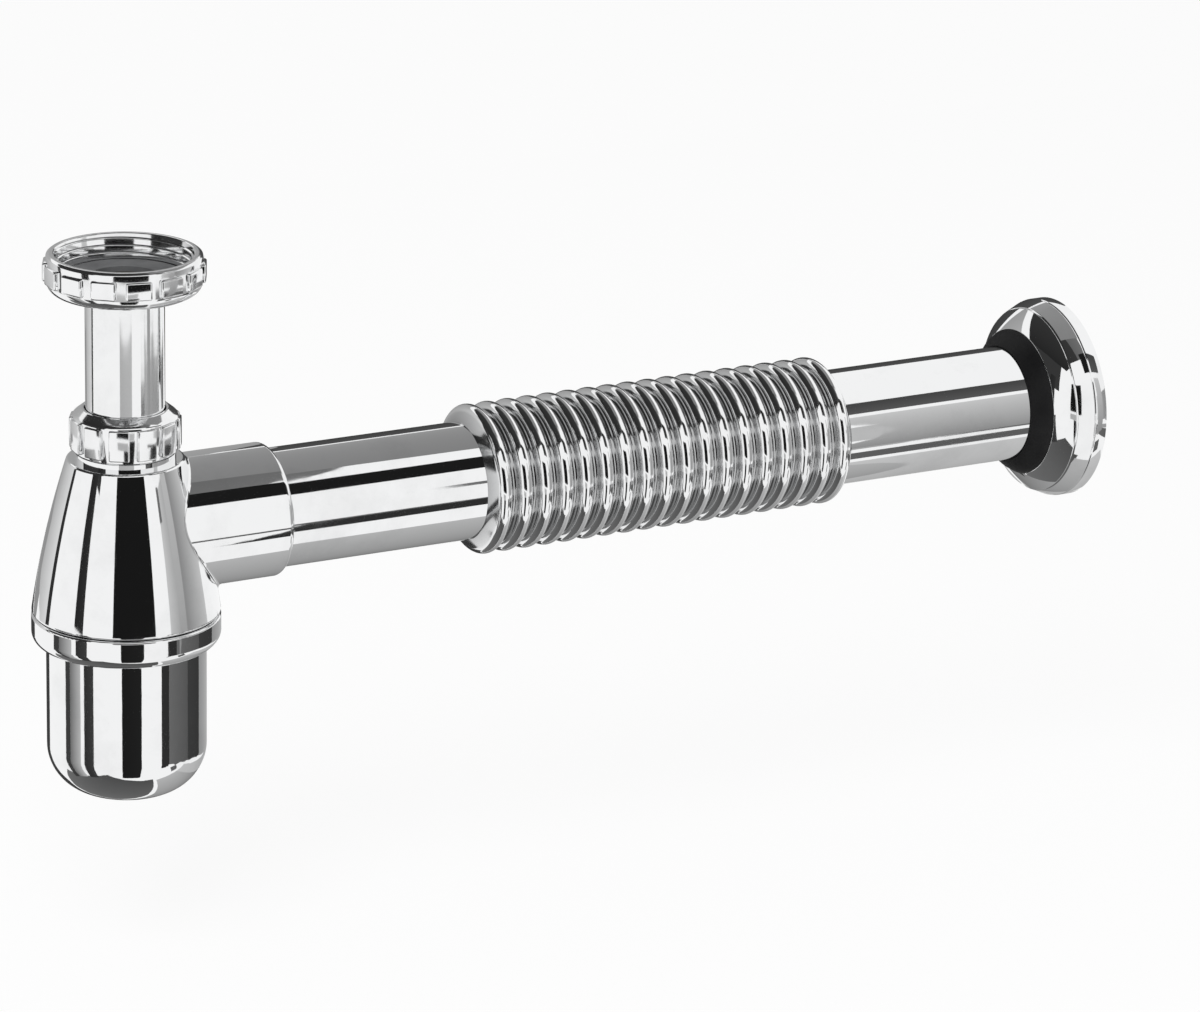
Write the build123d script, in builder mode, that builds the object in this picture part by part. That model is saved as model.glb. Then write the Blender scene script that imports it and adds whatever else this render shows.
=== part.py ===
"""Flexible bottle trap for a wash basin, in millimetres.

The origin is the centre of the seat where the basin's waste meets the inlet washer.
+Z is up, towards the basin, and +X runs along the outlet pipe to the wall.
"""

import os
from math import asin, degrees

from build123d import *

os.makedirs("parts", exist_ok=True)

# Inlet union: nut, washer and flanged tube
inlet_thread_d = 42.0
inlet_thread_length = 8.2
mouth_chamfer = 2.2
thread_relief = 0.4
union_wall = 4.4
union_lip = 1.6
union_edge_radius = 4.0
union_rim_radius = 0.6
union_rim_height = 2.8
union_rib_count = 14
union_rib_width = 8.6
union_rib_proud = 1.0
washer_thickness = 1.8
flange_thickness = 1.3
flange_root_radius = 1.2
inlet_od = 26.0
inlet_wall = 1.0

# Compression joint on the neck
seal_thickness = 1.5
seal_height = 4.6
seal_taper = 0.8
seal_stand = 0.6
slip_thickness = 1.4
neck_wall = 1.0
neck_length = 8.4
neck_ring_height = 2.3
neck_nut_wall = 1.6
neck_nut_top = 2.0
neck_nut_hub = 2.4
neck_nut_taper = 0.9
neck_nut_edge_radius = 1.2
neck_rib_count = 12
neck_rib_width = 6.8
neck_rib_proud = 0.7

# Trap body
outlet_drop = 86.0
body_rise = 24.8
body_drop = 28.0
body_ledge = 2.8
body_d = 62.4
body_swell = 1.1
body_wall = 2.2
body_edge_radius = 0.9
skirt_length = 5.5
skirt_wall = 2.3
socket_reach = 51.0
socket_depth = 19.0
socket_wall = 2.4
socket_end_radius = 2.0
socket_root_radius = 1.6

# Cup
cup_drop = 90.0
cup_step = 4.8
cup_wall = 2.0
cup_collar_height = 10.4
cup_collar_wall = 3.5
cup_collar_radius = 4.4
cup_bottom_radius = 16.0
gasket_thickness = 1.9
dip_clearance = 18.0

# Flexible pipe
pipe_od = 40.0
pipe_wall = 1.2
near_length = 71.5
ridge_count = 18
ridge_pitch = 7.65
ridge_height = 5.5
root_rise = 1.9
ridge_radius = 1.8
ridge_wall = 0.8
shoulder_length = 4.9
tail_length = 93.3
spigot_length = 9.0
spigot_reduction = 0.2

# Wall flange and its rubber ring
flange_d = 70.0
flange_depth = 15.8
flange_rim = 4.5
flange_step = 6.0
flange_step_rise = 2.6
flange_wall = 1.2
flange_nose = 1.4
ring_wall = 4.3
ring_lip = 6.0
ring_lip_edge = 0.5
ring_bead = 0.7
ring_bead_length = 3.2
wall_set_back = 0.5

# Clearances
turn_gap = 0.1
loose_gap = 0.5
thread_gap = 0.2
slide_gap = 0.05
tube_gap = 0.4
nut_gap = 0.3

# Radii and levels that several pieces share
inlet_r = inlet_od / 2
inlet_bore_r = inlet_r - inlet_wall
thread_r = inlet_thread_d / 2
union_r = thread_r + union_wall
outlet_z = -outlet_drop
pipe_r = pipe_od / 2
pipe_bore_r = pipe_r - pipe_wall
body_r = body_d / 2

flange_top_z = -washer_thickness
flange_under_z = flange_top_z - flange_thickness
lip_top_z = flange_under_z - turn_gap
union_bottom_z = lip_top_z - union_lip

body_top_z = outlet_z + body_rise
body_bottom_z = outlet_z - body_drop
neck_ring_top_z = body_top_z + neck_ring_height
neck_top_z = neck_ring_top_z + neck_length
seal_r = inlet_r + slide_gap
seal_outer_r = seal_r + seal_thickness
neck_r = seal_outer_r + slide_gap + neck_wall
neck_thread_r = neck_r + thread_gap
neck_nut_r = neck_thread_r + neck_nut_wall
neck_ring_r = neck_nut_r - neck_nut_taper
body_top_r = neck_ring_r + body_ledge

cup_thread_r = body_r - cup_collar_wall
skirt_r = cup_thread_r - thread_gap
skirt_bore_r = skirt_r - skirt_wall
skirt_end_z = body_bottom_z - skirt_length
cup_r = body_r - cup_step
cup_bore_r = cup_r - cup_wall
cup_bottom_z = outlet_z - cup_drop
dip_end_z = cup_bottom_z + cup_wall + dip_clearance

pipe_plane = Plane(origin=(0, 0, outlet_z), x_dir=(1, 0, 0), z_dir=(0, -1, 0))
pipe_axis = Axis((0, 0, outlet_z), (1, 0, 0))
socket_bore_r = pipe_r + slide_gap
socket_r = socket_bore_r + socket_wall
socket_stop_x = socket_reach - socket_depth
bellows_start_x = socket_reach + near_length
bellows_length = (ridge_count - 1) * ridge_pitch + 2 * shoulder_length
bellows_end_x = bellows_start_x + bellows_length
tail_end_x = bellows_end_x + tail_length
ridge_r = pipe_r + ridge_height
root_r = pipe_r + root_rise


# Inlet union nut: a thread bore, a relief round the washer and an inward lip, with flat grip pads outside
with BuildPart() as inlet_nut:
    lip_r = inlet_r + flange_root_radius + nut_gap
    with BuildSketch(Plane.XZ):
        with BuildLine():
            FilletPolyline(
                (thread_r + mouth_chamfer, inlet_thread_length),
                (union_r, inlet_thread_length),
                (union_r, union_bottom_z),
                (lip_r, union_bottom_z),
                (lip_r, lip_top_z),
                (thread_r + thread_relief, lip_top_z),
                (thread_r + thread_relief, 0),
                (thread_r, 0),
                (thread_r, inlet_thread_length - mouth_chamfer),
                radius=[0, union_rim_radius, union_edge_radius, 0, 0, 0, 0, 0, 0],
                close=True,
            )
        make_face()
    revolve(axis=Axis.Z)
    rib_bottom_z = union_bottom_z + union_edge_radius
    rib_depth = union_rib_proud + union_wall / 2
    with BuildSketch(Plane.XY.offset(rib_bottom_z)):
        with PolarLocations(union_r + union_rib_proud - rib_depth / 2, union_rib_count):
            RectangleRounded(rib_depth, union_rib_width, union_rib_proud)
    extrude(amount=inlet_thread_length - union_rim_height - rib_bottom_z)
inlet_nut.part.label = "inlet_nut"
export_step(inlet_nut.part, "parts/inlet_nut.step")

# Flat washer that the basin's waste seals against
with BuildPart() as inlet_washer:
    with BuildSketch(Plane.XY.offset(flange_top_z)):
        Circle(thread_r - loose_gap)
        Circle(inlet_bore_r, mode=Mode.SUBTRACT)
    extrude(amount=washer_thickness)
inlet_washer.part.label = "inlet_washer"
export_step(inlet_washer.part, "parts/inlet_washer.step")

# Inlet tube: the flange hangs in the union nut, and the lower end dips into the cup's water
with BuildPart() as inlet_tube:
    with BuildSketch(Plane.XZ):
        with BuildLine():
            FilletPolyline(
                (inlet_bore_r, flange_top_z),
                (thread_r - loose_gap, flange_top_z),
                (thread_r - loose_gap, flange_under_z),
                (inlet_r, flange_under_z),
                (inlet_r, dip_end_z),
                (inlet_bore_r, dip_end_z),
                radius=[0, 0, 0, flange_root_radius, 0, 0],
                close=True,
            )
        make_face()
    revolve(axis=Axis.Z)
inlet_tube.part.label = "inlet_tube"
export_step(inlet_tube.part, "parts/inlet_tube.step")

# Tapered rubber seal: its flat bore grips the inlet tube, and its taper sits in the neck
seal_top_z = neck_top_z + seal_stand
with BuildPart() as neck_seal:
    with BuildSketch(Plane.XZ):
        with BuildLine():
            Polyline(
                (seal_r, seal_top_z),
                (seal_outer_r, seal_top_z),
                (seal_outer_r, neck_top_z),
                (seal_outer_r - seal_taper, seal_top_z - seal_height),
                (seal_r, seal_top_z - seal_height),
                close=True,
            )
        make_face()
    revolve(axis=Axis.Z)
neck_seal.part.label = "neck_seal"
export_step(neck_seal.part, "parts/neck_seal.step")

# Slip ring, so that the compression nut doesn't drag the rubber round
slip_top_z = seal_top_z + slip_thickness
with BuildPart() as neck_slip_ring:
    with BuildSketch(Plane.XY.offset(seal_top_z)):
        Circle(neck_thread_r - nut_gap)
        Circle(inlet_r + nut_gap, mode=Mode.SUBTRACT)
    extrude(amount=slip_thickness)
neck_slip_ring.part.label = "neck_slip_ring"
export_step(neck_slip_ring.part, "parts/neck_slip_ring.step")

# Compression nut: a tapered skirt with grip pads, and a hub that closes on the tube
neck_nut_roof_z = slip_top_z + turn_gap
neck_nut_shoulder_z = neck_nut_roof_z + neck_nut_top
neck_nut_bottom_z = neck_ring_top_z + nut_gap
with BuildPart() as neck_nut:
    hole_r = inlet_r + nut_gap
    with BuildSketch(Plane.XZ):
        with BuildLine():
            FilletPolyline(
                (hole_r, neck_nut_shoulder_z + neck_nut_hub),
                (hole_r + neck_wall, neck_nut_shoulder_z + neck_nut_hub),
                (neck_nut_r, neck_nut_shoulder_z),
                (neck_nut_r - neck_nut_taper, neck_nut_bottom_z),
                (neck_thread_r, neck_nut_bottom_z),
                (neck_thread_r, neck_nut_roof_z),
                (hole_r, neck_nut_roof_z),
                radius=[0, 0, neck_nut_edge_radius, 0, 0, 0, 0],
                close=True,
            )
        make_face()
    revolve(axis=Axis.Z)
    rib_depth = neck_rib_proud + neck_nut_wall / 2 + neck_nut_taper / 2
    rib_bottom_z = neck_nut_bottom_z + neck_nut_edge_radius
    with BuildSketch(Plane.XY.offset(rib_bottom_z)):
        with PolarLocations(neck_nut_r + neck_rib_proud - rib_depth / 2, neck_rib_count):
            RectangleRounded(rib_depth, neck_rib_width, neck_rib_proud)
    extrude(amount=neck_nut_shoulder_z - neck_nut_edge_radius / 2 - rib_bottom_z)
neck_nut.part.label = "neck_nut"
export_step(neck_nut.part, "parts/neck_nut.step")

# Trap body: neck, swelling cone and outlet socket in one casting, open below for the cup
with BuildPart() as trap_body:
    with BuildSketch(Plane.XZ):
        with BuildLine():
            Polyline(
                (body_r, body_bottom_z),
                (skirt_r, body_bottom_z),
                (skirt_r, skirt_end_z),
                (0, skirt_end_z),
                (0, neck_top_z),
                (neck_r, neck_top_z),
                (neck_r, neck_ring_top_z),
                (neck_ring_r, neck_ring_top_z),
                (neck_ring_r, body_top_z),
                (body_top_r, body_top_z),
            )
            SagittaArc((body_top_r, body_top_z), (body_r, body_bottom_z), body_swell)
        make_face()
    revolve(axis=Axis.Z)
    outer_edges = []
    for level in (body_top_z, body_bottom_z):
        level_edges = trap_body.edges().filter_by_position(Axis.Z, level - slide_gap, level + slide_gap)
        outer_edges.append(level_edges.sort_by(SortBy.LENGTH)[-1])
    fillet(outer_edges, body_edge_radius)

    # The socket runs out of the cone, with a cast fillet at its root and a rounded mouth
    with BuildSketch(Plane.YZ):
        with Locations((0, outlet_z)):
            Circle(socket_r)
    extrude(amount=socket_reach)
    fillet(trap_body.edges(Select.NEW), socket_root_radius)
    mouth_edges = trap_body.edges().filter_by_position(Axis.X, socket_reach, socket_reach)
    fillet(mouth_edges, min(socket_end_radius, 0.9 * socket_wall))

    # Inside: the seal's seat, the way past the tube, and a chamber that opens into the skirt
    seat_floor_z = seal_top_z - seal_height - slide_gap
    chamber_top_z = body_top_z - body_wall
    chamber_r = body_r - body_wall
    ledge_z = body_bottom_z + body_wall
    ledge_rise = chamber_r - skirt_bore_r
    with BuildSketch(Plane.XZ):
        with BuildLine():
            Polyline(
                (chamber_r, ledge_z + ledge_rise),
                (skirt_bore_r, ledge_z),
                (skirt_bore_r, skirt_end_z),
                (0, skirt_end_z),
                (0, neck_top_z),
                (seal_outer_r + slide_gap, neck_top_z),
                (seal_outer_r - seal_taper + slide_gap, seat_floor_z),
                (inlet_r + tube_gap, seat_floor_z),
                (inlet_r + tube_gap, chamber_top_z),
                (body_top_r - body_wall, chamber_top_z),
            )
            SagittaArc(
                (body_top_r - body_wall, chamber_top_z),
                (chamber_r, ledge_z + ledge_rise),
                body_swell,
            )
        make_face()
    revolve(axis=Axis.Z, mode=Mode.SUBTRACT)
    with BuildSketch(Plane.YZ):
        with Locations((0, outlet_z)):
            Circle(pipe_bore_r)
    extrude(amount=socket_stop_x, mode=Mode.SUBTRACT)
    with BuildSketch(Plane.YZ.offset(socket_stop_x)):
        with Locations((0, outlet_z)):
            Circle(socket_bore_r)
    extrude(amount=socket_depth, mode=Mode.SUBTRACT)
trap_body.part.label = "trap_body"
export_step(trap_body.part, "parts/trap_body.step")

# Cup: a collar with the thread that screws over the body's skirt, above a round bowl
cup_top_z = body_bottom_z - nut_gap
collar_under_z = cup_top_z - cup_collar_height
gasket_top_z = skirt_end_z - slide_gap
seat_z = gasket_top_z - gasket_thickness
with BuildPart() as cup:
    collar_round = min(cup_collar_radius, 0.9 * cup_step)
    with BuildSketch(Plane.XZ):
        with BuildLine():
            FilletPolyline(
                (cup_thread_r, cup_top_z),
                (body_r, cup_top_z),
                (body_r, collar_under_z),
                (cup_r, collar_under_z),
                (cup_r, cup_bottom_z),
                (0, cup_bottom_z),
                (0, cup_bottom_z + cup_wall),
                (cup_bore_r, cup_bottom_z + cup_wall),
                (cup_bore_r, seat_z),
                (cup_thread_r, seat_z),
                radius=[
                    0,
                    body_edge_radius,
                    collar_round,
                    0,
                    cup_bottom_radius,
                    0,
                    0,
                    cup_bottom_radius - cup_wall,
                    0,
                    0,
                ],
                close=True,
            )
        make_face()
    revolve(axis=Axis.Z)
cup.part.label = "cup"
export_step(cup.part, "parts/cup.step")

# Flat gasket between the end of the skirt and the cup's seat
with BuildPart() as cup_gasket:
    with BuildSketch(Plane.XY.offset(seat_z)):
        Circle(cup_thread_r - nut_gap)
        Circle(skirt_bore_r, mode=Mode.SUBTRACT)
    extrude(amount=gasket_thickness)
cup_gasket.part.label = "cup_gasket"
export_step(cup_gasket.part, "parts/cup_gasket.step")

# Near end of the flexible pipe, soldered into the socket
with BuildPart() as outlet_pipe:
    pipe_start_x = socket_stop_x + turn_gap
    with BuildSketch(Plane.YZ.offset(pipe_start_x)):
        with Locations((0, outlet_z)):
            Circle(pipe_r)
            Circle(pipe_bore_r, mode=Mode.SUBTRACT)
    extrude(amount=bellows_start_x - pipe_start_x)
outlet_pipe.part.label = "outlet_pipe"
export_step(outlet_pipe.part, "parts/outlet_pipe.step")

# Corrugations: the round crests and round valleys touch in a common tangent, at flank_angle
corrugation_depth = ridge_r - root_r
half_pitch = ridge_pitch / 2
centre_distance = (half_pitch**2 + corrugation_depth**2) / (2 * corrugation_depth)
valley_radius = centre_distance - ridge_radius
flank_angle = degrees(asin((centre_distance - corrugation_depth) / centre_distance))
crest_centre_r = ridge_r - ridge_radius
valley_centre_r = root_r + valley_radius
first_crest_x = bellows_start_x + shoulder_length


def crest_x(ridge):
    """Place of a ridge's crest along the pipe."""
    return first_crest_x + ridge * ridge_pitch


def corrugation(first, last, inset):
    """Draw one skin of ridges first to last, as far as the valley bottoms or the end shoulders."""
    half_turn = 180
    for ridge in range(first, last + 1):
        begins = ridge == 0
        ends = ridge == ridge_count - 1
        low = 0 if ends else flank_angle
        high = half_turn if begins else half_turn - flank_angle
        CenterArc((crest_x(ridge), crest_centre_r), ridge_radius - inset, low, high - low)
        half_valley = half_turn / 2 - flank_angle
        if not begins:
            left = (crest_x(ridge) - half_pitch, valley_centre_r)
            CenterArc(left, valley_radius + inset, 1.5 * half_turn, half_valley)
        if not ends:
            right = (crest_x(ridge) + half_pitch, valley_centre_r)
            CenterArc(right, valley_radius + inset, half_turn + flank_angle, half_valley)


def end_cut(ridge, side):
    """Close the two skins: at a shoulder on the pipe's plain end, or straight across a valley."""
    plain_end_x = {-1: bellows_start_x, 1: bellows_end_x}[side]
    at_shoulder = ridge == {-1: 0, 1: ridge_count - 1}[side]
    if at_shoulder:
        flank_x = crest_x(ridge) + side * ridge_radius
        Polyline(
            (flank_x, crest_centre_r),
            (plain_end_x, pipe_r),
            (plain_end_x, pipe_r - ridge_wall),
            (flank_x - side * ridge_wall, crest_centre_r),
        )
    else:
        cut_x = crest_x(ridge) + side * half_pitch
        Line((cut_x, root_r), (cut_x, root_r - ridge_wall))


# The corrugated stretch is one piece of pipe, held here as the spans that bend or stretch apart
span_names = ["bellows_near", "bellows_middle", "bellows_far"]
span_ridges = ridge_count // len(span_names)
for number, name in enumerate(span_names):
    first_ridge = number * span_ridges
    last_ridge = first_ridge + span_ridges - 1
    with BuildPart() as bellows:
        with BuildSketch(pipe_plane):
            with BuildLine():
                corrugation(first_ridge, last_ridge, 0)
                corrugation(first_ridge, last_ridge, ridge_wall)
                end_cut(first_ridge, -1)
                end_cut(last_ridge, 1)
            make_face()
        revolve(axis=pipe_axis)
    bellows.part.label = name
    export_step(bellows.part, f"parts/{name}.step")

# Plain tail of the flexible pipe, drawn down a little at the end that enters the drain
with BuildPart() as tail_pipe:
    spigot_r = pipe_r - spigot_reduction
    with BuildSketch(pipe_plane):
        with BuildLine():
            Polyline(
                (bellows_end_x, pipe_bore_r),
                (bellows_end_x, pipe_r),
                (tail_end_x - spigot_length, pipe_r),
                (tail_end_x - spigot_length, spigot_r),
                (tail_end_x, spigot_r),
                (tail_end_x, pipe_bore_r),
                close=True,
            )
        make_face()
    revolve(axis=pipe_axis)
tail_pipe.part.label = "tail_pipe"
export_step(tail_pipe.part, "parts/tail_pipe.step")

# Wall flange: a pressed cover in two slopes and a plain rim, open at the back
flange_r = flange_d / 2
flange_back_x = tail_end_x + wall_set_back
flange_front_x = flange_back_x - flange_depth
flange_hole_r = pipe_r + ring_wall
rim_x = flange_back_x - flange_rim
step_x = rim_x - flange_step
step_r = flange_r - flange_step_rise
with BuildPart() as wall_flange:
    with BuildSketch(pipe_plane):
        with BuildLine():
            Polyline(
                (flange_front_x, flange_hole_r),
                (flange_front_x, flange_hole_r + flange_nose),
                (step_x, step_r),
                (rim_x, flange_r),
                (flange_back_x, flange_r),
                (flange_back_x, flange_r - flange_wall),
                (rim_x, flange_r - flange_wall),
                (step_x + flange_wall / 2, step_r - flange_wall),
                (flange_front_x + flange_wall, flange_hole_r),
                close=True,
            )
        make_face()
    revolve(axis=pipe_axis)
wall_flange.part.label = "wall_flange"
export_step(wall_flange.part, "parts/wall_flange.step")

# Rubber ring: a tapered lip in front of the flange, and a bead that snaps in behind its hole
with BuildPart() as flange_seal:
    ring_bore_r = pipe_r + slide_gap
    ring_neck_r = flange_hole_r - slide_gap
    bead_x = flange_front_x + flange_wall + ring_bead + nut_gap
    with BuildSketch(pipe_plane):
        with BuildLine():
            Polyline(
                (flange_front_x - ring_lip, ring_bore_r),
                (flange_front_x - ring_lip, ring_bore_r + ring_lip_edge),
                (flange_front_x, flange_hole_r + flange_nose),
                (flange_front_x, ring_neck_r),
                (flange_front_x + flange_wall, ring_neck_r),
                (bead_x, flange_hole_r + ring_bead),
                (bead_x + ring_bead_length, flange_hole_r + ring_bead),
                (bead_x + ring_bead_length, ring_bore_r),
                close=True,
            )
        make_face()
    revolve(axis=pipe_axis)
flange_seal.part.label = "flange_seal"
export_step(flange_seal.part, "parts/flange_seal.step")
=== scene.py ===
import math

import bpy
from mathutils import Euler, Matrix, Vector


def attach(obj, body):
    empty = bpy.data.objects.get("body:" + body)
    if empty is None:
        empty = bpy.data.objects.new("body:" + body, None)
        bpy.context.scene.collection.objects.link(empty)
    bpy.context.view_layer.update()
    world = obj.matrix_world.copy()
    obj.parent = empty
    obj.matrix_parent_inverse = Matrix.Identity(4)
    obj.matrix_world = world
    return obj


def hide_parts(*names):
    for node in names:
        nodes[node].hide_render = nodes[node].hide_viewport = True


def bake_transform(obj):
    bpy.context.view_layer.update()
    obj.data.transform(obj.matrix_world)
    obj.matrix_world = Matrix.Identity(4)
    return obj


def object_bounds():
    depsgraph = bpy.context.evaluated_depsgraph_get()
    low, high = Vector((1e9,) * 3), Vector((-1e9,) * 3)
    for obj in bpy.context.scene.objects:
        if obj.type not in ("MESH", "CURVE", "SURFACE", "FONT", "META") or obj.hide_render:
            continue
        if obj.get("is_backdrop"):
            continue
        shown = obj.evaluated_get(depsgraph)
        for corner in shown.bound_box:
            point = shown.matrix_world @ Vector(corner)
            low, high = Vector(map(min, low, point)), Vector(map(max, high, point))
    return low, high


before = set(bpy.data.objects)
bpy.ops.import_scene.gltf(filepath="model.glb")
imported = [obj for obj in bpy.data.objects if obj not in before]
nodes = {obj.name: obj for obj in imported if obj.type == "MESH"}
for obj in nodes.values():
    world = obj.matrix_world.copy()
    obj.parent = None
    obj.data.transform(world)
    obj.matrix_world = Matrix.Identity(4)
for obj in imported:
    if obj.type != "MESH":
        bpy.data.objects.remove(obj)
cad_low, cad_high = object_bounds()
bpy.ops.object.select_all(action="DESELECT")


# Union nut that hangs the trap on the basin's waste. It is hot-pressed brass, turned and threaded inside,
# with flat grip pads round the skirt, polished and then plated with nickel and bright chrome.
mm = 0.001
nut_wall_r = 25.4 * mm
nut_bore_r = 20.8 * mm
nut_relief_r = 21.4 * mm
nut_hole_r = 14.5 * mm
nut_mouth_r = 22.85 * mm
nut_rim_r = 24.5 * mm
nut_shoulder = 7.5 * mm
nut_top = 8.2 * mm
nut_floor = -3.2 * mm
nut_under = -4.8 * mm
nut_round = 4.0 * mm
pad_top = 5.4 * mm
pad_under = -0.8 * mm
pad_face_r = 26.4 * mm
pad_width = 8.6 * mm
pad_depth = 3.2 * mm
pad_count = 14
pad_softness = 0.7 * mm
weld_gap = 0.005 * mm
smooth_below = math.radians(40)


def arc(centre_x, centre_z, radius, first, last, count):
    """Points along an arc in the XZ plane, from the first angle to the last, in degrees."""
    points = []
    for number in range(count + 1):
        angle = math.radians(first + (last - first) * number / count)
        points.append((centre_x + radius * math.cos(angle), 0, centre_z + radius * math.sin(angle)))
    return points


def turn_on_lathe(name, outline, steps, centre, spindle):
    """One point is drawn out along a closed outline, and the line is spun right round the spindle."""
    bpy.ops.object.select_all(action="DESELECT")
    bpy.ops.mesh.primitive_plane_add(size=mm, location=(0, 0, 0))
    piece = bpy.context.object
    piece.name = name
    bpy.ops.object.mode_set(mode="EDIT")
    bpy.ops.mesh.select_mode(type="VERT")
    bpy.ops.mesh.select_all(action="SELECT")
    bpy.ops.mesh.merge(type="CENTER")
    bpy.ops.transform.translate(value=outline[0])
    for here, there in zip(outline, outline[1:] + outline[:1]):
        stroke = Vector(there) - Vector(here)
        bpy.ops.mesh.extrude_region_move(TRANSFORM_OT_translate={"value": stroke})
    bpy.ops.mesh.select_all(action="SELECT")
    bpy.ops.mesh.spin(steps=steps, angle=2 * math.pi, center=centre, axis=spindle)
    bpy.ops.mesh.select_all(action="SELECT")
    bpy.ops.mesh.remove_doubles(threshold=weld_gap)
    bpy.ops.mesh.normals_make_consistent(inside=False)
    bpy.ops.object.mode_set(mode="OBJECT")
    return piece


def break_edges(piece, width, segments, sharper_than):
    """Takes the sharpness off a piece's edges, as polishing does, and shades the rest smooth."""
    bpy.ops.object.select_all(action="DESELECT")
    piece.select_set(True)
    bpy.context.view_layer.objects.active = piece
    edge = piece.modifiers.new("broken_edges", "BEVEL")
    edge.width = width
    edge.segments = segments
    edge.limit_method = "ANGLE"
    edge.angle_limit = math.radians(sharper_than)
    bpy.ops.object.modifier_apply(modifier=edge.name)
    bpy.ops.object.shade_smooth_by_angle(angle=smooth_below)


def grip_pads(name, count, face_r, depth, width, under, top, softness):
    """Flat grip pads round a nut: one block with soft edges, copied round the axis."""
    bpy.ops.object.select_all(action="DESELECT")
    bpy.ops.mesh.primitive_cube_add(size=1, location=(face_r - depth / 2, 0, (under + top) / 2))
    first_pad = bpy.context.object
    first_pad.name = name
    first_pad.scale = (depth, width, top - under)
    bpy.ops.object.transform_apply(location=True, rotation=True, scale=True)
    break_edges(first_pad, softness, segments=4, sharper_than=30)
    pads = [first_pad]
    for number in range(1, count):
        bpy.ops.object.select_all(action="DESELECT")
        first_pad.select_set(True)
        bpy.context.view_layer.objects.active = first_pad
        bpy.ops.object.duplicate()
        pad = bpy.context.object
        pad.rotation_euler = (0, 0, 2 * math.pi * number / count)
        bpy.ops.object.transform_apply(location=True, rotation=True, scale=True)
        pads.append(pad)
    return pads


def join(piece, others):
    """Makes one object of a piece and what is cast on it."""
    bpy.ops.object.select_all(action="DESELECT")
    for other in others:
        other.select_set(True)
    piece.select_set(True)
    bpy.context.view_layer.objects.active = piece
    bpy.ops.object.join()


nut_outline = [
    (nut_mouth_r, 0, nut_top),
    (nut_rim_r, 0, nut_top),
    (nut_wall_r, 0, nut_shoulder),
    (nut_wall_r, 0, pad_top),
]
nut_outline += arc(nut_wall_r - nut_round, nut_under + nut_round, nut_round, first=0, last=-90, count=12)
nut_outline += [
    (nut_hole_r, 0, nut_under),
    (nut_hole_r, 0, nut_floor),
    (nut_relief_r, 0, nut_floor),
    (nut_relief_r, 0, 0),
    (nut_bore_r, 0, 0),
]
inlet_centre = (0, 0, 0)
inlet_axis = (0, 0, 1)
union_nut = turn_on_lathe("union_nut", nut_outline, 112, inlet_centre, inlet_axis)
break_edges(union_nut, 0.45 * mm, segments=3, sharper_than=30)
union_pads = grip_pads(
    "union_pad", pad_count, pad_face_r, pad_depth, pad_width, pad_under, pad_top, pad_softness
)
join(union_nut, union_pads)

# The nut's female pipe thread, cut on a lathe: a ridge that winds up the bore in under three turns.
# The bore widens a little towards the mouth, and the ridge widens with it.
thread_pitch = 2.309 * mm
thread_turns = 2.75
thread_steps = 264
thread_start = math.radians(120)
ridge_foot_r = nut_bore_r + 0.25 * mm
ridge_side_r = nut_bore_r - 0.35 * mm
ridge_tip_r = nut_bore_r - 0.45 * mm
ridge_low = 0.3 * mm
ridge_high = 1.3 * mm
ridge_outline = [
    (ridge_foot_r, 0, ridge_low),
    (ridge_side_r, 0, 0.63 * mm),
    (ridge_tip_r, 0, 0.73 * mm),
    (ridge_tip_r, 0, 0.87 * mm),
    (ridge_side_r, 0, 0.97 * mm),
    (ridge_foot_r, 0, ridge_high),
]
bpy.ops.object.select_all(action="DESELECT")
bpy.ops.mesh.primitive_plane_add(size=mm, location=(0, 0, 0))
union_thread = bpy.context.object
union_thread.name = "union_thread"
bpy.ops.object.mode_set(mode="EDIT")
bpy.ops.mesh.select_all(action="SELECT")
bpy.ops.mesh.merge(type="CENTER")
bpy.ops.transform.translate(value=ridge_outline[0])
for here, there in zip(ridge_outline, ridge_outline[1:] + ridge_outline[:1]):
    bpy.ops.mesh.extrude_region_move(TRANSFORM_OT_translate={"value": Vector(there) - Vector(here)})
bpy.ops.mesh.select_all(action="SELECT")
bpy.ops.mesh.remove_doubles(threshold=weld_gap)
bpy.ops.object.mode_set(mode="OBJECT")
winding = union_thread.modifiers.new("winding", "SCREW")
winding.axis = "Z"
winding.angle = 2 * math.pi * thread_turns
winding.screw_offset = thread_pitch * thread_turns
winding.steps = thread_steps
winding.render_steps = thread_steps
bpy.ops.object.modifier_apply(modifier=winding.name)
thread_height = thread_pitch * thread_turns + ridge_high - ridge_low
flare = union_thread.modifiers.new("flare", "SIMPLE_DEFORM")
flare.deform_method = "TAPER"
flare.deform_axis = "Z"
flare.factor = (nut_mouth_r / nut_bore_r - 1) * thread_height / nut_top
bpy.ops.object.modifier_apply(modifier=flare.name)
bpy.ops.object.mode_set(mode="EDIT")
bpy.ops.mesh.select_mode(type="EDGE")
bpy.ops.mesh.select_all(action="DESELECT")
bpy.ops.mesh.select_non_manifold()
bpy.ops.mesh.fill_holes(sides=len(ridge_outline))
bpy.ops.mesh.select_all(action="SELECT")
bpy.ops.mesh.normals_make_consistent(inside=False)
bpy.ops.transform.rotate(value=thread_start, orient_axis="Z", center_override=inlet_centre)
bpy.ops.object.mode_set(mode="OBJECT")
bpy.ops.object.shade_smooth_by_angle(angle=smooth_below)

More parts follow.
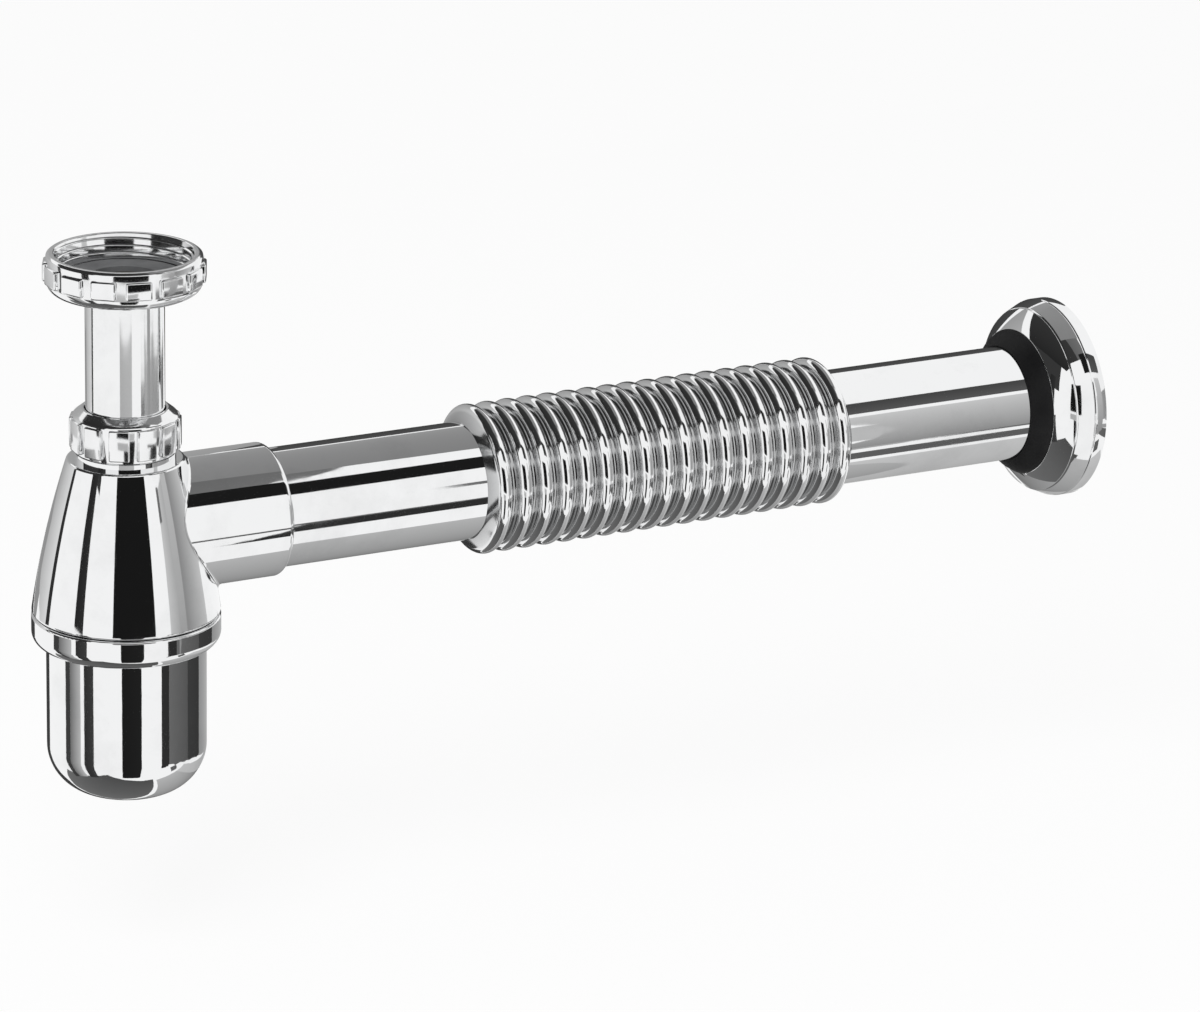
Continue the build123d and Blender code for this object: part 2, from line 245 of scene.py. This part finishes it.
# Plating, shared by every chromed piece: nickel and a film of chrome over polished brass.
# It has a thin haze where it is handled, and shows the ripple of the metal below.
plating = bpy.data.node_groups.new("plating", "ShaderNodeTree")
for label, kind, start in (
    ("Clean", "NodeSocketColor", (0.88, 0.885, 0.89, 1)),
    ("Hazed", "NodeSocketColor", (0.78, 0.785, 0.79, 1)),
    ("Gloss", "NodeSocketFloat", 0.03),
    ("Haze Gloss", "NodeSocketFloat", 0.09),
    ("Ripple Scale", "NodeSocketFloat", 90.0),
):
    plating.interface.new_socket(label, in_out="INPUT", socket_type=kind).default_value = start
plating.interface.new_socket("Colour", in_out="OUTPUT", socket_type="NodeSocketColor")
plating.interface.new_socket("Roughness", in_out="OUTPUT", socket_type="NodeSocketFloat")
plating.interface.new_socket("Height", in_out="OUTPUT", socket_type="NodeSocketFloat")
plating_in = plating.nodes.new("NodeGroupInput")
plating_out = plating.nodes.new("NodeGroupOutput")
place = plating.nodes.new("ShaderNodeTexCoord")
haze = plating.nodes.new("ShaderNodeTexNoise")
haze.inputs["Scale"].default_value = 38
haze.inputs["Detail"].default_value = 6
haze.inputs["Roughness"].default_value = 0.62
haze_patch = plating.nodes.new("ShaderNodeMapRange")
haze_patch.inputs["From Min"].default_value = 0.5
haze_patch.inputs["From Max"].default_value = 0.78
ripple = plating.nodes.new("ShaderNodeTexNoise")
ripple.inputs["Detail"].default_value = 1.5
tint = plating.nodes.new("ShaderNodeMix")
tint.data_type = "RGBA"
shine = plating.nodes.new("ShaderNodeMix")
plating.links.new(place.outputs["Object"], haze.inputs["Vector"])
plating.links.new(place.outputs["Object"], ripple.inputs["Vector"])
plating.links.new(plating_in.outputs["Ripple Scale"], ripple.inputs["Scale"])
plating.links.new(haze.outputs["Fac"], haze_patch.inputs["Value"])
plating.links.new(haze_patch.outputs["Result"], tint.inputs["Factor"])
plating.links.new(plating_in.outputs["Clean"], tint.inputs["A"])
plating.links.new(plating_in.outputs["Hazed"], tint.inputs["B"])
plating.links.new(haze_patch.outputs["Result"], shine.inputs["Factor"])
plating.links.new(plating_in.outputs["Gloss"], shine.inputs["A"])
plating.links.new(plating_in.outputs["Haze Gloss"], shine.inputs["B"])
plating.links.new(tint.outputs["Result"], plating_out.inputs["Colour"])
plating.links.new(shine.outputs["Result"], plating_out.inputs["Roughness"])
plating.links.new(ripple.outputs["Fac"], plating_out.inputs["Height"])


def chrome(name, ripple_scale, ripple_strength, gloss, haze_gloss, clean=0.88, hazed=0.78):
    """Bright chrome on a metal that leaves its own ripple in the shine."""
    finish = bpy.data.materials.new(name)
    finish.use_nodes = True
    tree = finish.node_tree
    shader = tree.nodes["Principled BSDF"]
    shader.inputs["Metallic"].default_value = 1
    skin = tree.nodes.new("ShaderNodeGroup")
    skin.name = "skin"
    skin.node_tree = plating
    skin.inputs["Ripple Scale"].default_value = ripple_scale
    skin.inputs["Clean"].default_value = (clean, clean * 1.005, clean * 1.01, 1)
    skin.inputs["Hazed"].default_value = (hazed, hazed * 1.005, hazed * 1.01, 1)
    skin.inputs["Gloss"].default_value = gloss
    skin.inputs["Haze Gloss"].default_value = haze_gloss
    bump = tree.nodes.new("ShaderNodeBump")
    bump.inputs["Strength"].default_value = ripple_strength
    bump.inputs["Distance"].default_value = 0.4 * mm
    tree.links.new(skin.outputs["Colour"], shader.inputs["Base Color"])
    tree.links.new(skin.outputs["Roughness"], shader.inputs["Roughness"])
    tree.links.new(skin.outputs["Height"], bump.inputs["Height"])
    tree.links.new(bump.outputs["Normal"], shader.inputs["Normal"])
    return finish


def finish_with(piece, finish):
    """The piece gets this finish and no other."""
    piece.data.materials.clear()
    piece.data.materials.append(finish)


pressed_chrome = chrome("pressed_chrome", ripple_scale=140, ripple_strength=0.08, gloss=0.08, haze_gloss=0.14)
finish_with(union_nut, pressed_chrome)
finish_with(union_thread, pressed_chrome)
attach(union_nut, "inlet_nut")
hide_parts("inlet_nut")
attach(union_thread, "inlet_nut")


# Inlet tube: a drawn brass tube, flanged at the top to hang in the nut, that dips into the cup's water.
# Only its outside is buffed and plated, and the bore keeps the dull brown of old brass.
def dull_bore(finish, bore_r, along_pipe, middle):
    """Takes the plating off inside a bore: there the metal is bare, dull and dark."""
    tree = finish.node_tree
    shader = tree.nodes["Principled BSDF"]
    skin = tree.nodes["skin"]
    spot = tree.nodes.new("ShaderNodeTexCoord")
    centre = tree.nodes.new("ShaderNodeMapping")
    centre.inputs["Location"].default_value = (0, 0, -middle)
    flatten = tree.nodes.new("ShaderNodeVectorMath")
    flatten.operation = "MULTIPLY"
    flatten.inputs[1].default_value = (0, 1, 1) if along_pipe else (1, 1, 0)
    reach = tree.nodes.new("ShaderNodeVectorMath")
    reach.operation = "LENGTH"
    inside = tree.nodes.new("ShaderNodeMath")
    inside.operation = "LESS_THAN"
    inside.inputs[1].default_value = bore_r
    stain = tree.nodes.new("ShaderNodeTexNoise")
    stain.inputs["Scale"].default_value = 120
    stain.inputs["Detail"].default_value = 5
    brass = tree.nodes.new("ShaderNodeValToRGB")
    brass.color_ramp.elements[0].color = (0.035, 0.03, 0.026, 1)
    brass.color_ramp.elements[1].color = (0.11, 0.095, 0.075, 1)
    skin_or_brass = tree.nodes.new("ShaderNodeMix")
    skin_or_brass.data_type = "RGBA"
    dulled = tree.nodes.new("ShaderNodeMix")
    dulled.inputs["B"].default_value = 0.62
    plated = tree.nodes.new("ShaderNodeMath")
    plated.operation = "SUBTRACT"
    plated.inputs[0].default_value = 1
    tree.links.new(spot.outputs["Object"], centre.inputs["Vector"])
    tree.links.new(centre.outputs["Vector"], flatten.inputs[0])
    tree.links.new(flatten.outputs["Vector"], reach.inputs[0])
    tree.links.new(reach.outputs["Value"], inside.inputs[0])
    tree.links.new(spot.outputs["Object"], stain.inputs["Vector"])
    tree.links.new(stain.outputs["Fac"], brass.inputs["Fac"])
    tree.links.new(inside.outputs["Value"], skin_or_brass.inputs["Factor"])
    tree.links.new(skin.outputs["Colour"], skin_or_brass.inputs["A"])
    tree.links.new(brass.outputs["Color"], skin_or_brass.inputs["B"])
    tree.links.new(inside.outputs["Value"], dulled.inputs["Factor"])
    tree.links.new(skin.outputs["Roughness"], dulled.inputs["A"])
    tree.links.new(inside.outputs["Value"], plated.inputs[1])
    tree.links.new(skin_or_brass.outputs["Result"], shader.inputs["Base Color"])
    tree.links.new(dulled.outputs["Result"], shader.inputs["Roughness"])
    tree.links.new(plated.outputs["Value"], shader.inputs["Metallic"])


bare_in_tube_r = 12.5 * mm
tube_chrome = chrome("tube_chrome", ripple_scale=90, ripple_strength=0.06, gloss=0.06, haze_gloss=0.12)
dull_bore(tube_chrome, bare_in_tube_r, along_pipe=False, middle=0)
finish_with(nodes["inlet_tube"], tube_chrome)


# Flat washer on the tube's flange, stamped from a sheet of grey rubber filled with fibre.
# The nut squeezes it between the flange and the basin's waste, and that makes the seal.
def rubber(name, dark, light, grain, gloss):
    """Moulded or stamped rubber: a matt skin with a fine grain and a bloom that lightens it in patches."""
    finish = bpy.data.materials.new(name)
    finish.use_nodes = True
    tree = finish.node_tree
    shader = tree.nodes["Principled BSDF"]
    shader.inputs["Specular IOR Level"].default_value = 0.18
    spot = tree.nodes.new("ShaderNodeTexCoord")
    bloom = tree.nodes.new("ShaderNodeTexNoise")
    bloom.inputs["Scale"].default_value = 70
    bloom.inputs["Detail"].default_value = 5
    colours = tree.nodes.new("ShaderNodeValToRGB")
    colours.color_ramp.elements[0].position = 0.35
    colours.color_ramp.elements[0].color = (*dark, 1)
    colours.color_ramp.elements[1].position = 0.75
    colours.color_ramp.elements[1].color = (*light, 1)
    matt = tree.nodes.new("ShaderNodeMapRange")
    matt.inputs["To Min"].default_value = gloss
    matt.inputs["To Max"].default_value = gloss + 0.2
    pores = tree.nodes.new("ShaderNodeTexNoise")
    pores.inputs["Scale"].default_value = grain
    pores.inputs["Detail"].default_value = 3
    bump = tree.nodes.new("ShaderNodeBump")
    bump.inputs["Strength"].default_value = 0.25
    bump.inputs["Distance"].default_value = 0.1 * mm
    tree.links.new(spot.outputs["Object"], bloom.inputs["Vector"])
    tree.links.new(spot.outputs["Object"], pores.inputs["Vector"])
    tree.links.new(bloom.outputs["Fac"], colours.inputs["Fac"])
    tree.links.new(bloom.outputs["Fac"], matt.inputs["Value"])
    tree.links.new(colours.outputs["Color"], shader.inputs["Base Color"])
    tree.links.new(matt.outputs["Result"], shader.inputs["Roughness"])
    tree.links.new(pores.outputs["Fac"], bump.inputs["Height"])
    tree.links.new(bump.outputs["Normal"], shader.inputs["Normal"])
    return finish


grey_rubber = rubber("grey_rubber", (0.11, 0.112, 0.115), (0.2, 0.203, 0.206), grain=1600, gloss=0.55)
finish_with(nodes["inlet_washer"], grey_rubber)


# Compression joint on the neck: a tapered black seal, a nylon slip ring and a small chromed brass nut.
# The nut's pads are pressed with it, and its hub closes on the tube with a hair of room.
black_rubber = rubber("black_rubber", (0.006, 0.006, 0.0065), (0.014, 0.014, 0.0145), grain=1400, gloss=0.45)
finish_with(nodes["neck_seal"], black_rubber)
nylon = rubber("nylon", (0.8, 0.79, 0.75), (0.86, 0.85, 0.81), grain=900, gloss=0.35)
finish_with(nodes["neck_slip_ring"], nylon)
hub_r = 13.3 * mm
neck_bore_r = 15.8 * mm
neck_nut_top = -44.0 * mm
neck_nut_roof = -48.4 * mm
neck_nut_under = -58.6 * mm
neck_nut_outline = [
    (hub_r, 0, neck_nut_top),
    (14.3 * mm, 0, neck_nut_top),
    (16.3 * mm, 0, -45.55 * mm),
    (16.9 * mm, 0, -46.05 * mm),
    (17.25 * mm, 0, -46.5 * mm),
    (17.36 * mm, 0, -47.2 * mm),
    (16.5 * mm, 0, neck_nut_under),
    (neck_bore_r, 0, neck_nut_under),
    (neck_bore_r, 0, neck_nut_roof),
    (hub_r, 0, neck_nut_roof),
]
neck_nut = turn_on_lathe("neck_nut_skin", neck_nut_outline, 96, inlet_centre, inlet_axis)
break_edges(neck_nut, 0.25 * mm, segments=3, sharper_than=30)
neck_pads = grip_pads(
    "neck_pad",
    count=12,
    face_r=18.1 * mm,
    depth=1.95 * mm,
    width=6.8 * mm,
    under=-57.4 * mm,
    top=-47.0 * mm,
    softness=0.55 * mm,
)
join(neck_nut, neck_pads)
finish_with(neck_nut, pressed_chrome)
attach(neck_nut, "neck_nut")
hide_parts("neck_nut")


# Trap body: neck, cone and outlet socket in one brass casting, fettled, buffed and chromed.
# The buffing leaves soft waves in the cone that bend the long reflections.
cast_chrome = chrome("cast_chrome", ripple_scale=55, ripple_strength=0.1, gloss=0.03, haze_gloss=0.09)
finish_with(nodes["trap_body"], cast_chrome)


# Cup: turned brass, chromed, that screws over the body's skirt on a flat black gasket.
# It comes off by hand to clear the trap.
turned_chrome = chrome("turned_chrome", ripple_scale=140, ripple_strength=0.05, gloss=0.03, haze_gloss=0.09)
finish_with(nodes["cup"], turned_chrome)
finish_with(nodes["cup_gasket"], black_rubber)


# Near end of the flexible pipe: a plain length of drawn brass tube, plated outside and bare inside.
# It is pushed into the body's socket and soldered there.
pipe_axis_z = -86 * mm
bare_in_pipe_r = 19.4 * mm
pipe_chrome = chrome("pipe_chrome", ripple_scale=60, ripple_strength=0.07, gloss=0.03, haze_gloss=0.1)
dull_bore(pipe_chrome, bare_in_pipe_r, along_pipe=True, middle=pipe_axis_z)
finish_with(nodes["outlet_pipe"], pipe_chrome)


# Corrugations of the same pipe, rolled into the wall so that it bends, stretches and closes up by hand.
# They are one piece of tube with the plain ends, modelled in three spans.
pipe_centre = (0, 0, pipe_axis_z)
pipe_axis = (1, 0, 0)
first_crest_x = 127.4 * mm
ridge_pitch = 7.65 * mm
ridge_count = 18
crest_r = 25.5 * mm
root_r = 21.9 * mm
plain_r = 20.0 * mm
crest_round = 2.5 * mm
fold_wall = 0.8 * mm
corrugated_start_x = 122.5 * mm
near_span_end_x = 169.475 * mm
middle_span_end_x = 215.375 * mm
corrugated_end_x = 262.35 * mm
crest_steps = 16
valley_steps = 7
half_pitch = ridge_pitch / 2
fold_depth = crest_r - root_r
rounds_apart = (half_pitch**2 + fold_depth**2) / (2 * fold_depth)
root_round = rounds_apart - crest_round
flank = math.degrees(math.asin((rounds_apart - fold_depth) / rounds_apart))


def fold_line(first, last, inset):
    """One skin of the folds from left to right, between valley bottoms or the pipe's plain ends."""
    line = []
    crest_z = pipe_axis_z + crest_r - crest_round
    root_z = pipe_axis_z + root_r + root_round
    for ridge in range(first, last + 1):
        crest_x = first_crest_x + ridge * ridge_pitch
        begins = ridge == 0
        ends = ridge == ridge_count - 1
        if begins:
            line.append((corrugated_start_x, 0, pipe_axis_z + plain_r - inset))
        else:
            line += arc(crest_x - half_pitch, root_z, root_round + inset, 270, 360 - flank, valley_steps)
        high = 180 if begins else 180 - flank
        low = 0 if ends else flank
        line += arc(crest_x, crest_z, crest_round - inset, high, low, crest_steps)
        if ends:
            line.append((corrugated_end_x, 0, pipe_axis_z + plain_r - inset))
        else:
            line += arc(crest_x + half_pitch, root_z, root_round + inset, 180 + flank, 270, valley_steps)
    return line


# The buffing wheel rides on the crests of the folds and can't reach between them, so the valleys are duller.
# Their colour is also darkened towards the valley bottoms: that darkening is painted shade.
valley_r = 22.1 * mm
buffed_and_unshaded_r = 23.9 * mm
fold_chrome = chrome(
    "fold_chrome", ripple_scale=90, ripple_strength=0.05, gloss=0.07, haze_gloss=0.12, clean=0.88, hazed=0.8
)
fold_tree = fold_chrome.node_tree
fold_skin = fold_tree.nodes["skin"]
fold_shader = fold_tree.nodes["Principled BSDF"]
buffing_and_valley_shade = fold_tree.nodes.new("ShaderNodeAttribute")
buffing_and_valley_shade.attribute_name = "buffing_and_valley_shade"
# Painted shade: in the valleys the colour falls to a mid grey, whatever light reaches them.
valley_painted_shade = fold_tree.nodes.new("ShaderNodeMix")
valley_painted_shade.data_type = "RGBA"
valley_painted_shade.inputs["A"].default_value = (0.48, 0.483, 0.486, 1)
valley_shine = fold_tree.nodes.new("ShaderNodeMix")
valley_shine.inputs["A"].default_value = 0.13
fold_tree.links.new(buffing_and_valley_shade.outputs["Fac"], valley_painted_shade.inputs["Factor"])
fold_tree.links.new(fold_skin.outputs["Colour"], valley_painted_shade.inputs["B"])
fold_tree.links.new(buffing_and_valley_shade.outputs["Fac"], valley_shine.inputs["Factor"])
fold_tree.links.new(fold_skin.outputs["Roughness"], valley_shine.inputs["B"])
fold_tree.links.new(valley_painted_shade.outputs["Result"], fold_shader.inputs["Base Color"])
fold_tree.links.new(valley_shine.outputs["Result"], fold_shader.inputs["Roughness"])
for node, first, last, before, after, start_x, end_x in (
    ("bellows_near", 0, 5, "trap_body", "side_bend", corrugated_start_x, near_span_end_x),
    ("bellows_middle", 6, 11, "side_bend", "up_bend", near_span_end_x, middle_span_end_x),
    ("bellows_far", 12, 17, "up_bend", "tail_pipe", middle_span_end_x, corrugated_end_x),
):
    outside = fold_line(first, last, 0)
    inside_back = fold_line(first, last, fold_wall)
    inside_back.reverse()
    folds = turn_on_lathe(node + "_folds", outside + inside_back, 128, pipe_centre, pipe_axis)
    bpy.ops.object.shade_smooth_by_angle(angle=smooth_below)
    # Mask from 0 at the valley bottoms to 1 near the crests: it sets the duller finish and the painted shade.
    buffing_and_shade_mask = folds.data.attributes.new("buffing_and_valley_shade", "FLOAT", "POINT")
    for number, point in enumerate(folds.data.vertices):
        radius = math.hypot(point.co.y, point.co.z - pipe_axis_z)
        buffing_and_shade_mask.data[number].value = min(1, max(0, (radius - valley_r) / (buffed_and_unshaded_r - valley_r)))
    finish_with(folds, fold_chrome)
    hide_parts(node)
    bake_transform(folds)


# Plain tail of the same drawn brass tube, which carries the wall flange.
# Its last stretch is drawn down a little to go into the drain's socket.
finish_with(nodes["tail_pipe"], pipe_chrome)


# Wall flange: a cover spun from thin brass sheet in two slopes and a rim, chromed outside.
# It slides along the tail to hide the hole in the wall.
def about_pipe(points):
    """Turns lengths along the pipe and radii, in millimetres, into points above its axis."""
    return [(along * mm, 0, pipe_axis_z + radius * mm) for along, radius in points]


flange_outline = about_pipe(
    [
        (340.35, 24.3),
        (340.35, 25.7),
        (345.5, 32.2),
        (345.75, 32.05),
        (346.05, 32.55),
        (351.4, 34.87),
        (351.6, 34.68),
        (351.95, 34.99),
        (356.15, 34.99),
        (356.15, 33.8),
        (351.65, 33.8),
        (346.25, 31.2),
        (341.55, 24.3),
    ]
)
flange_cover = turn_on_lathe("flange_cover", flange_outline, 160, pipe_centre, pipe_axis)
break_edges(flange_cover, 0.12 * mm, segments=2, sharper_than=14)
finish_with(flange_cover, turned_chrome)
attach(flange_cover, "wall_flange")
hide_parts("wall_flange")


# Black rubber ring that closes the flange on the pipe, moulded with a tapered lip and a bead behind the hole.
# It grips the pipe, and holds the cover wherever it is slid.
ring_outline = about_pipe(
    [
        (334.35, 20.05),
        (334.35, 20.55),
        (336.3, 22.6),
        (338.4, 24.55),
        (340.3, 25.65),
        (340.3, 24.25),
        (341.55, 24.25),
        (342.55, 25.0),
        (345.75, 25.0),
        (345.75, 20.05),
    ]
)
flange_ring = turn_on_lathe("flange_ring", ring_outline, 128, pipe_centre, pipe_axis)
break_edges(flange_ring, 0.18 * mm, segments=2, sharper_than=24)
finish_with(flange_ring, black_rubber)
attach(flange_ring, "wall_flange")
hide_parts("flange_seal")


# The studio: white all round, and dark flags that only the chrome sees. The trap hangs from its nut,
# so the pale floor lies below the lowest place that the cup and the bent pipe can reach.
reach_below = 62 * mm
floor_glow = 0.86
bpy.ops.object.select_all(action="DESELECT")
bpy.ops.mesh.primitive_plane_add(size=12, location=(0, 0, cad_low[2] - reach_below))
floor = bpy.context.object
floor.name = "floor"
floor.visible_glossy = False
floor_paint = bpy.data.materials.new("floor_paint")
floor_paint.use_nodes = True
paint_tree = floor_paint.node_tree
paint = paint_tree.nodes["Principled BSDF"]
paint.inputs["Base Color"].default_value = (0.92, 0.92, 0.92, 1)
paint.inputs["Roughness"].default_value = 0.9
glow = paint_tree.nodes.new("ShaderNodeEmission")
glow.inputs["Strength"].default_value = 1
ray = paint_tree.nodes.new("ShaderNodeLightPath")
seen = paint_tree.nodes.new("ShaderNodeMath")
seen.operation = "MULTIPLY"
seen.inputs[1].default_value = floor_glow
floor_mix = paint_tree.nodes.new("ShaderNodeMixShader")
paint_tree.links.new(ray.outputs["Is Camera Ray"], seen.inputs[0])
paint_tree.links.new(seen.outputs["Value"], floor_mix.inputs["Fac"])
paint_tree.links.new(paint.outputs["BSDF"], floor_mix.inputs[1])
paint_tree.links.new(glow.outputs["Emission"], floor_mix.inputs[2])
paint_tree.links.new(floor_mix.outputs["Shader"], paint_tree.nodes["Material Output"].inputs["Surface"])
finish_with(floor, floor_paint)
floor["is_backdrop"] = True

# The room round the trap: a plain white backdrop for the camera, the chrome and anything clear,
# and a softer white that lights the matt surfaces.
world = bpy.data.worlds.new("studio")
bpy.context.scene.world = world
world.use_nodes = True
sky = world.node_tree
room = sky.nodes["Background"]
room.inputs["Color"].default_value = (1, 1, 1, 1)
room.inputs["Strength"].default_value = 0.7
backdrop = sky.nodes.new("ShaderNodeBackground")
backdrop.inputs["Color"].default_value = (1, 1, 1, 1)
backdrop.inputs["Strength"].default_value = 1
path = sky.nodes.new("ShaderNodeLightPath")
camera_or_metal = sky.nodes.new("ShaderNodeMath")
camera_or_metal.operation = "MAXIMUM"
or_glass = sky.nodes.new("ShaderNodeMath")
or_glass.operation = "MAXIMUM"
choose = sky.nodes.new("ShaderNodeMixShader")
sky.links.new(path.outputs["Is Camera Ray"], camera_or_metal.inputs[0])
sky.links.new(path.outputs["Is Glossy Ray"], camera_or_metal.inputs[1])
sky.links.new(camera_or_metal.outputs["Value"], or_glass.inputs[0])
sky.links.new(path.outputs["Is Transmission Ray"], or_glass.inputs[1])
sky.links.new(or_glass.outputs["Value"], choose.inputs["Fac"])
sky.links.new(room.outputs["Background"], choose.inputs[1])
sky.links.new(backdrop.outputs["Background"], choose.inputs[2])
sky.links.new(choose.outputs["Shader"], sky.nodes["World Output"].inputs["Surface"])


def hang_card(name, place, tilt, width, height, first, last, across):
    """A card that only the chrome sees, painted from its first shade to its last, across or up."""
    bpy.ops.mesh.primitive_plane_add(size=1, location=place, rotation=tilt)
    card = bpy.context.object
    card.name = name
    card.scale = (width, height, 1)
    bpy.ops.object.transform_apply(location=True, rotation=True, scale=True)
    card_paint = bpy.data.materials.new(name)
    card_paint.use_nodes = True
    tree = card_paint.node_tree
    tree.nodes.clear()
    spot = tree.nodes.new("ShaderNodeTexCoord")
    split = tree.nodes.new("ShaderNodeSeparateXYZ")
    shades = tree.nodes.new("ShaderNodeMix")
    shades.data_type = "RGBA"
    shades.inputs["A"].default_value = (first, first, first, 1)
    shades.inputs["B"].default_value = (last, last, last, 1)
    face = tree.nodes.new("ShaderNodeEmission")
    surface = tree.nodes.new("ShaderNodeOutputMaterial")
    tree.links.new(spot.outputs["UV"], split.inputs["Vector"])
    tree.links.new(split.outputs["X" if across else "Y"], shades.inputs["Factor"])
    tree.links.new(shades.outputs["Result"], face.inputs["Color"])
    tree.links.new(face.outputs["Emission"], surface.inputs["Surface"])
    finish_with(card, card_paint)
    card.visible_camera = False
    card.visible_diffuse = False
    card.visible_shadow = False
    card.visible_transmission = False
    card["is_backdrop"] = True


def upright_flag(name, begin, end, reach, low, high, first, last):
    """A card that stands at a reach from the cup between two bearings, in degrees from -Y towards +X."""
    middle = math.radians((begin + end) / 2)
    width = 2 * reach * math.tan(math.radians(end - begin) / 2)
    place = (reach * math.sin(middle), -reach * math.cos(middle), (low + high) / 2)
    hang_card(name, place, (math.pi / 2, 0, middle), width, high - low, first, last, True)


def long_board(name, left, right, y, z, lean, width, first, last):
    """A card that lies along the pipe, leaning about it by an angle in degrees."""
    place = ((left + right) / 2, y, z)
    hang_card(name, place, (math.radians(lean), 0, 0), right - left, width, first, last, False)


# Flags that stand round the cup: low ones that the cup shows as stripes, high ones for the cone,
# and a pale row between them for the tube and the nuts.
for name, begin, end, reach, low, high, first, last in (
    ("cup_back", 152, 192, 0.6, -0.75, -0.285, 0.05, 0.05),
    ("cup_left_line", -120, -111, 0.6, -0.75, -0.285, 0.05, 0.05),
    ("cup_left_grey", -111, -92, 0.6, -0.75, -0.285, 0.16, 0.5),
    ("cup_left_dark", -86, -71, 0.6, -0.75, -0.285, 0.03, 0.05),
    ("cup_black", -30, -2.5, 0.6, -0.75, -0.285, 0.012, 0.016),
    ("cup_right_pale", 28, 40, 2, -1.05, -0.765, 0.6, 0.4),
    ("cup_right_grey", 40, 74.5, 2, -1.05, -0.765, 0.15, 0.1),
    ("cup_right_dark", 74.5, 103.5, 2, -1.05, -0.765, 0.05, 0.04),
    ("cup_right_edge", 103.5, 126, 2, -1.05, -0.765, 0.3, 0.4),
    ("cup_right_back", 126, 150, 2, -1.05, -0.765, 0.4, 0.5),
    ("body_left_back", -208, -171, 0.6, -0.24, 0.25, 0.35, 0.45),
    ("body_left_pale", -171, -134, 0.6, -0.24, 0.25, 0.45, 0.75),
    ("body_left_line", -134, -127, 0.6, -0.24, 0.25, 0.03, 0.03),
    ("body_left_dark", -87, -75, 0.6, -0.165, 0.25, 0.02, 0.03),
    ("body_black", -39, 11, 0.6, -0.165, 0.25, 0.01, 0.01),
    ("body_right_grey", 31, 56, 2, -0.5, 0.3, 0.6, 0.28),
    ("body_right_pale", 56, 90, 2, -0.55, 0.3, 0.28, 0.6),
    ("tube_left_edge", 152, 200, 0.6, -0.28, -0.2, 0.3, 0.3),
    ("tube_grey", -38, -4, 0.6, -0.28, -0.2, 0.45, 0.5),
    ("tube_line", 23, 34, 2, -0.75, -0.66, 0.12, 0.12),
    ("tube_right", 34, 62, 2, -0.76, -0.64, 0.42, 0.34),
    ("tube_right_dark", 62, 91, 2, -0.76, -0.64, 0.34, 0.3),
    ("tube_right_edge", 91, 120, 2, -0.76, -0.64, 0.3, 0.15),
):
    upright_flag(name, begin, end, reach, low, high, first, last)

# Boards that lie along the pipe, each seen as one long stripe on the near end or on the tail,
# and broad ones over, under and left of the cup that the folds and the flange look at.
for name, left, right, y, z, lean, width, first, last in (
    ("near_black", 0.28, 0.56, -0.478, 0.488, 39.7, 0.29, 0.012, 0.012),
    ("tail_dark", 0.56, 1.0, -0.478, 0.488, 39.7, 0.29, 0.1, 0.06),
    ("near_thin_line", 0.54, 0.63, -0.92, 0.097, 90, 0.085, 0.16, 0.16),
    ("near_line", 0.45, 0.72, -0.87, -0.52, 90, 0.24, 0.03, 0.03),
    ("near_under", 0.22, 0.62, 0.27, -0.69, 0, 1.26, 0.5, 0.16),
    ("tail_grey", 0.66, 0.95, -0.7, -0.05, 90, 0.84, 0.3, 0.62),
    ("tail_line", 0.72, 0.97, -0.685, -0.786, -44.5, 0.24, 0.12, 0.12),
    ("tail_under", 0.62, 0.97, 0.27, -0.69, 0, 1.26, 0.6, 0.4),
    ("pipe_top_edge", 0.35, 1.1, 0.85, -0.02, 90, 0.76, 0.04, 0.08),
    ("under_cup", -0.7, 0.22, 0.05, -0.8, 0, 1.1, 0.08, 0.16),
):
    long_board(name, left, right, y, z, lean, width, first, last)
level = (0, 0, 0)
facing_left = (math.pi / 2, 0, -math.pi / 2)
askew = (0, 0, math.radians(-13.8))
for name, place, tilt, width, height, first, last, across in (
    ("over_cup", (-0.35, 0.225, 0.7), level, 1.1, 1.55, 0.02, 0.04, True),
    ("over_socket", (0.31, 0.225, 0.7), level, 0.22, 1.55, 0.13, 0.17, True),
    ("left_of_cup", (-0.9, 0.475, 0.43), facing_left, 1.65, 0.62, 0.04, 0.04, True),
    ("near_above", (0.47, 0.45, 0.52), askew, 0.36, 1.13, 0.24, 0.34, False),
):
    hang_card(name, place, tilt, width, height, first, last, across)

# One soft key light from the upper left, which gives the rubber its shape and the floor its shadow.
# The chrome doesn't see it.
key_size = 1.2
bpy.ops.object.light_add(type="AREA", location=(-1.0, -1.2, 1.6))
key = bpy.context.object
key.name = "key_softbox"
key.data.shape = "RECTANGLE"
key.data.size = key_size
key.data.size_y = key_size
key.data.energy = 26
key.rotation_euler = Euler((math.radians(44), 0, math.radians(-40)))
key.visible_glossy = False

# The camera stands in front of the trap, to the left and a little above, with a long lens.
# Its angles are degrees: how far it looks down, round towards the wall, and leans to one side.
looks_down = 18.574
looks_round = 27.991
leans = 1.212
bpy.ops.object.camera_add(location=(-0.73827, -1.71915, 0.55190))
camera = bpy.context.object
camera.name = "photo_camera"
aim = Euler((math.radians(90 - looks_down), 0, math.radians(-looks_round))).to_matrix().to_4x4()
camera.matrix_world = Matrix.Translation(camera.location) @ aim @ Matrix.Rotation(math.radians(leans), 4, "Z")
camera.data.sensor_width = 36
camera.data.lens = 180.67
camera.data.clip_start = 0.05
camera.data.clip_end = 30
bpy.context.scene.camera = camera
bpy.context.scene.view_settings.view_transform = "Standard"

low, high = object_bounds()
